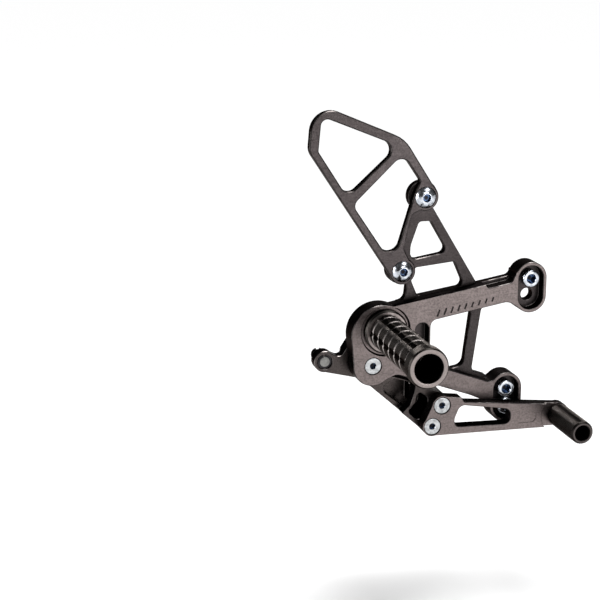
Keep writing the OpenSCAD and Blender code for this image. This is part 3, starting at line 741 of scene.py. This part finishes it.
grooves = []
ring_at = COLLAR_AT - 0.002
while ring_at > FIRST_RING:
    grooves.append(ring_at)
    ring_at -= RING_PITCH
peg_rings = smooth((PEG_HOLE_R, 0), (0.0152, 0), (FLANGE_R, 0.0003),
                   (FLANGE_R, 0.0038), (0.0143, 0.005))
peg_rings += knurl_rows(PEG_R, 0.0051, COLLAR_AT, DIAMOND, KNURL_DEPTH, grooves)
peg_rings += knurl_rows(COLLAR_R, COLLAR_AT + 0.0008, PEG_LENGTH - 0.0012, DIAMOND,
                        KNURL_DEPTH)
peg_rings += smooth((COLLAR_R - 0.0009, PEG_LENGTH - 0.0002), (COLLAR_R - 0.0012, PEG_LENGTH),
                    (0.0121, PEG_LENGTH), (0.0112, PEG_LENGTH), (0.0104, PEG_LENGTH),
                    (0.0100, PEG_LENGTH - 0.0001), (PEG_BORE_R, PEG_LENGTH - 0.0004),
                    (PEG_BORE_R, PEG_LENGTH - 0.0379))
# The step between the two bores is pale, a painted highlight deep in the bore where little
# light reaches.
peg_rings += [(PEG_BORE_R, PEG_LENGTH - 0.038, False, True),
              (PEG_DEEP_BORE_R, PEG_LENGTH - 0.0381, False, True)]
peg_rings += smooth((PEG_DEEP_BORE_R, PEG_LENGTH - 0.0382), (PEG_DEEP_BORE_R, PEG_FLOOR),
                    (PEG_HOLE_R, PEG_FLOOR))
peg_black = black_anodised("peg_black", PEG_FACE, PEG_WALL_SHADE, scuff_and_glint=0.9, rough=0.30,
                           grains=2200, broken_up=0.35, all_round=1.0)
knurled_bar("foot_peg_knurled", "bracket", "foot_peg", peg_rings,
            PEG_DIAMONDS,
            {"Diamond length": DIAMOND, "Knurl depth": KNURL_DEPTH, "Flutes": 6,
             "Flute radius": 0.004, "Flute centre": 0.0158, "Flute start": 0.005,
             "Flute end": 0.0815, "First flute": radians(56)}, peg_black,
            (PEG_X, PEG_SEAT_Y, PEG_Z))


# Peg bolt. One M8 cap screw of zinc-plated steel. Its head is sunk in the back of the hub,
# and its thread holds in the solid foot of the peg.
PEG_BOLT_SEAT_Y = -0.0084
PEG_BOLT_LENGTH = 0.0206
INBOARD = Matrix.Rotation(radians(-90), 4, "X")


def cap_rings(d, length, pitch, plain=0.0):
    """An M-size cap head with a serrated side; returns its rings and its knurled bands."""
    head = (1.5 * d + 0.0004) / 2
    rings = shank_rings(d / 2, length, pitch, plain)
    bands = [(2, len(rings) - 1)]
    if plain:
        rings.append((d / 2, 0))
    rings += [(head - 0.0003, 0), (head - 0.0001, 0.0002)]
    bands.append((len(rings), len(rings) + 1))
    rings += [(head, 0.0005), (head, d - 0.0009), (head - 0.0002, d - 0.0006),
              (head - 0.0007, d - 0.0001), (head - 0.0010, d), (0.66 * head, d), (0, d)]
    return rings, bands


def cap_sizes(d, pitch, plain=0.0):
    return {"Serrations": 36, "Serration depth": 0.00016, "Thread pitch": pitch,
            "Thread depth": 0.55 * pitch, "Thread top": -max(plain, 0.0002),
            "Socket radius": 0.433 * d, "Socket floor": d / 2, "Mouth radius": 0.46 * d,
            "Mouth top": d}


place_screws("peg_bolt_zinc", "bracket", "zinc_bolts", ("peg_bolt",),
             *cap_rings(M8, PEG_BOLT_LENGTH, M8_PITCH), [(PEG_X, PEG_BOLT_SEAT_Y, PEG_Z)],
             cap_sizes(M8, M8_PITCH), zinc, INBOARD)


# Frame bolts. Three M8 cap screws of 20 mm in the ear pockets; their threaded ends stand
# out of the mounting face, ready for the motorbike's frame.
FRAME_BOLTS = ((0.0, 0.0), (-0.016, -0.0795), (-0.016, -0.0922))
FRAME_BOLT_LENGTH = 0.020
POCKET_FLOOR_Y = -0.0075
place_screws("frame_bolts_zinc", "bracket", "zinc_bolts",
             ("frame_bolt_upper", "frame_bolt_middle", "frame_bolt_lower"),
             *cap_rings(M8, FRAME_BOLT_LENGTH, M8_PITCH, plain=-POCKET_FLOOR_Y),
             [(x, POCKET_FLOOR_Y, z) for x, z in FRAME_BOLTS],
             cap_sizes(M8, M8_PITCH, plain=-POCKET_FLOOR_Y), zinc, OUTBOARD)


# Brake pivot. A shouldered stud of turned steel behind the bracket, two bronze washers and
# a bronze bush pressed in the lever; an M6 countersunk screw from the front holds the stud.
M6 = 0.006
M6_PITCH = 0.001
PIVOT_X, PIVOT_Z = -0.1151, -0.0554
PIVOT_SCREW_Y = -0.0145
PIVOT_SCREW_LENGTH = 0.0227
FLAT_SIZES = {"Thread pitch": M6_PITCH, "Thread depth": 0.00055, "Thread top": -0.0034,
              "Socket radius": 0.00231, "Socket floor": -0.0024, "Mouth radius": 0.00245,
              "Mouth top": 0.0}
TURNED_EDGE = 0.0001
STEEL = (0.47, 0.47, 0.46)
BRONZE = (0.52, 0.34, 0.155)
BRIGHT = (0.46, 0.47, 0.48)


def turned_on(x, z, edge, parts):
    """Small turned nodes on the axis along Y through x, z, each listed with its finish and a
    slot, which is not used.

    Their points get from_axis, the distance from that axis, for the turning marks.
    """
    for node, slot, finish in parts:
        mesh = broken_edges(node, edge).data
        store = mesh.attributes.new("from_axis", "FLOAT", "POINT")
        for number, vert in enumerate(mesh.vertices):
            store.data[number].value = Vector((vert.co.x - x, vert.co.z - z)).length
        mesh.materials.append(finish)


turned_steel = plated("turned_steel", STEEL, 0.30, rings=2600)
bronze = plated("bearing_bronze", BRONZE, 0.36, rings=3400, spread=0.14)
turned_on(PIVOT_X, PIVOT_Z, TURNED_EDGE, (
    ("pivot_stud", "turned_steel", turned_steel), ("thrust_washer_outer", "bronze", bronze),
    ("thrust_washer_inner", "bronze", bronze), ("lever_bush", "bronze", bronze)))


def flat_rings(d, length, pitch):
    """An M-size countersunk screw with its flat top at 0; returns rings and thread band."""
    rings = shank_rings(d / 2, length, pitch, plain=0.5 * d + 0.0003)
    bands = [(2, len(rings) - 1)]
    rings += [(d - 0.0003, -0.0003), (d - 0.00025, -0.0002), (d - 0.0003, -0.00004),
              (d - 0.0004, 0), (0.82 * d, 0), (0.66 * d, 0), (0.52 * d, 0), (0, 0)]
    return rings, bands


bright = plated("bright_screw", BRIGHT, 0.27, rings=2300, groove=0.00003, spread=0.16)
place_screws("pivot_screw_bright", "bracket", "bright_screws", ("pivot_screw",),
             *flat_rings(M6, PIVOT_SCREW_LENGTH, M6_PITCH),
             [(PIVOT_X, PIVOT_SCREW_Y, PIVOT_Z)], FLAT_SIZES, bright, OUTBOARD)


# Brake lever. Milled from one bar that steps round the lower arm, from the push-rod ear
# behind the bracket to the blade's seat in front of it. Black anodised.
LEVER_EDGE = 0.0004
# The lever's faces are painted far darker than the blade's, as painted shade.
LEVER_SHADE_BLACK = (0.052, 0.044, 0.042)
lever = broken_edges("brake_lever", LEVER_EDGE)
lever.data.materials.append(
    black_anodised("lever_black", LEVER_SHADE_BLACK, WALL_SHADE_BLACK, scuff_and_glint=0.8, rough=0.27,
                   broken_up=0.8, all_round=0.5))


# Push-rod pin. A turned pin through the rear ear of the lever, with a black spring clip in
# a groove at each end; its free half takes the push rod of the brake cylinder.
CLEVIS_X, CLEVIS_Z = -0.1455, -0.0546
PIN_EDGE = 0.00008
SPRING_BLACK = (0.030, 0.029, 0.031)
DULL_STEEL = (0.21, 0.21, 0.20)
spring = plated("spring_steel", SPRING_BLACK, 0.34, rings=2600)
dull_steel = plated("dull_steel", DULL_STEEL, 0.36, rings=2600)
turned_on(CLEVIS_X, CLEVIS_Z, PIN_EDGE, (
    ("clevis_pin", "turned_steel", dull_steel), ("clevis_clip_outer", "spring_steel", spring),
    ("clevis_clip_inner", "spring_steel", spring)))


# Pedal blade. A 10 mm aluminium blade, milled with one window and a plain oval recess near
# the toe, then black anodised. It is screwed on the lever's front end.
BLADE_EDGE = 0.00045
blade = broken_edges("pedal_blade", BLADE_EDGE)
blade.data.materials.append(
    black_anodised("blade_black", FACE_BLACK, WALL_SHADE_BLACK, scuff_and_glint=0.5))


# Blade screws. Two M6 countersunk screws of bright steel, from the outside through the
# blade into the lever, with their heads flush with the blade.
BLADE_SCREWS = ((-0.0685, -0.0838), (-0.0754, -0.0986))
BLADE_SCREW_Y = -0.0275
BLADE_SCREW_LENGTH = 0.022
place_screws("blade_screws_bright", "lever", "bright_screws",
             ("blade_screw_upper", "blade_screw_lower"),
             *flat_rings(M6, BLADE_SCREW_LENGTH, M6_PITCH),
             [(x, BLADE_SCREW_Y, z) for x, z in BLADE_SCREWS], FLAT_SIZES, bright, OUTBOARD)


# Toe peg. An aluminium tube, knurled outside and bored from its free end, then black
# anodised. It is bolted on a round seat of the blade's toe from behind.
TOE_X, TOE_Z = 0.0199, -0.0983
TOE_SEAT_Y = -0.025
TOE_R = 0.00825
TOE_FOOT_R = 0.00705
TOE_LENGTH = 0.0425
TOE_HOLE_R = 0.00303
TOE_BORE_R = 0.0055
TOE_FLOOR = 0.009
TOE_DIAMONDS = 36
TOE_DIAMOND = 0.0016
TOE_KNURL_DEPTH = 0.00032
# The toe peg is painted darker than the foot peg, as painted shade, and its walls darker still.
TOE_SHADE_FACE = (0.070, 0.060, 0.058)
TOE_WALL_SHADE = (0.018, 0.016, 0.015)
toe_rings = smooth((TOE_HOLE_R, 0), (TOE_FOOT_R, 0), (TOE_FOOT_R, 0.001))
toe_rings += knurl_rows(TOE_R, 0.0022, 0.0410, TOE_DIAMOND, TOE_KNURL_DEPTH)
toe_rings += smooth((TOE_R - 0.0005, 0.0418), (TOE_R - 0.0012, TOE_LENGTH),
                    (0.0064, TOE_LENGTH), (0.0059, TOE_LENGTH), (TOE_BORE_R, 0.0421),
                    (TOE_BORE_R, TOE_FLOOR), (TOE_HOLE_R, TOE_FLOOR))
toe_black = black_anodised("toe_peg_black", TOE_SHADE_FACE, TOE_WALL_SHADE, scuff_and_glint=0.7, rough=0.32,
                           grains=2200, broken_up=0.5, all_round=1.0)
knurled_bar("toe_peg_knurled", "lever", "toe_peg", toe_rings,
            TOE_DIAMONDS, {"Diamond length": TOE_DIAMOND, "Knurl depth": TOE_KNURL_DEPTH},
            toe_black, (TOE_X, TOE_SEAT_Y, TOE_Z))


# Toe peg bolt. One M6 cap screw of zinc-plated steel. Its head is sunk in a counterbore of
# the blade's back, and its thread holds in the solid foot of the toe peg.
TOE_BOLT_SEAT_Y = -0.0205
TOE_BOLT_LENGTH = 0.0125
place_screws("toe_bolt_zinc", "lever", "zinc_bolts", ("toe_peg_bolt",),
             *cap_rings(M6, TOE_BOLT_LENGTH, M6_PITCH), [(TOE_X, TOE_BOLT_SEAT_Y, TOE_Z)],
             cap_sizes(M6, M6_PITCH), zinc, INBOARD)


# Floor. A plain pale sheet well below the set, which hangs by its upper frame bolt.
FLOOR_Z = -0.20
FLOOR_REACH = 40.0
sheet = bpy.data.meshes.new("floor")
sheet.from_pydata([(x * FLOOR_REACH, y * FLOOR_REACH, FLOOR_Z)
                   for x, y in ((-1, -1), (1, -1), (1, 1), (-1, 1))], [], [(0, 1, 2, 3)])
floor = bpy.data.objects.new("floor", sheet)
bpy.context.scene.collection.objects.link(floor)
paper = bpy.data.materials.new("floor_paper")
paper.use_nodes = True
for socket, value in (("Base Color", (0.97, 0.97, 0.97, 1)), ("Roughness", 0.9),
                      ("Specular IOR Level", 0.0)):
    paper.node_tree.nodes["Principled BSDF"].inputs[socket].default_value = value
sheet.materials.append(paper)


# Lamps and world. A wide soft light from above and a dim even world, with four soft boxes:
# a tall strip at the rear that draws the edges, one high on the outboard side, one overhead
# and a small one low on the outboard side for the screw heads.
def place_lamp(name, kind, power, place=(0, 0, 0)):
    data = bpy.data.lights.new(name, kind)
    data.energy = power
    lamp = bpy.data.objects.new(name, data)
    lamp.location = place
    bpy.context.scene.collection.objects.link(lamp)
    return lamp


def soft_box(name, place, target, size, power):
    lamp = place_lamp(name, "AREA", power, place)
    lamp.data.shape = "RECTANGLE"
    lamp.data.size, lamp.data.size_y = size
    lamp.rotation_euler = (Vector(target) - Vector(place)).to_track_quat("-Z", "Y").to_euler()


overhead = place_lamp("overhead", "SUN", 3.4)
overhead.data.angle = radians(32)
overhead.rotation_euler = (radians(-24), radians(16), 0)
soft_box("left_strip", (-1.3, -0.33, 0.05), (-0.1, 0, 0.05), (0.25, 1.1), 10)
soft_box("front_box", (0.35, -1.7, 1.0), (-0.06, 0, -0.02), (0.9, 0.5), 14)
soft_box("top_box", (0.50, -0.45, 1.25), (-0.05, 0, 0.05), (0.8, 0.5), 5)
soft_box("low_box", (0.36, -1.16, -0.08), (-0.06, 0, 0.10), (0.25, 0.25), 0.9)

world = bpy.data.worlds.new("studio")
bpy.context.scene.world = world
world.use_nodes = True
world.node_tree.nodes["Background"].inputs["Color"].default_value = (1, 1, 1, 1)
world.node_tree.nodes["Background"].inputs["Strength"].default_value = 0.07


# Camera. A 90 mm lens on the outboard side, turned 14.5 degrees round to the rear and
# looking 14.6 degrees down.
CAMERA_DOWN, CAMERA_ROUND = 14.6, 14.5
camera_data = bpy.data.cameras.new("camera")
camera = bpy.data.objects.new("camera", camera_data)
bpy.context.scene.collection.objects.link(camera)
camera_data.lens = 90
camera_data.sensor_width = 36
camera.location = (-0.41286, -0.9636, 0.25075)
camera.rotation_euler = (radians(90 - CAMERA_DOWN), 0, radians(-CAMERA_ROUND))
bpy.context.scene.camera = camera
bpy.context.scene.view_settings.view_transform = "Standard"
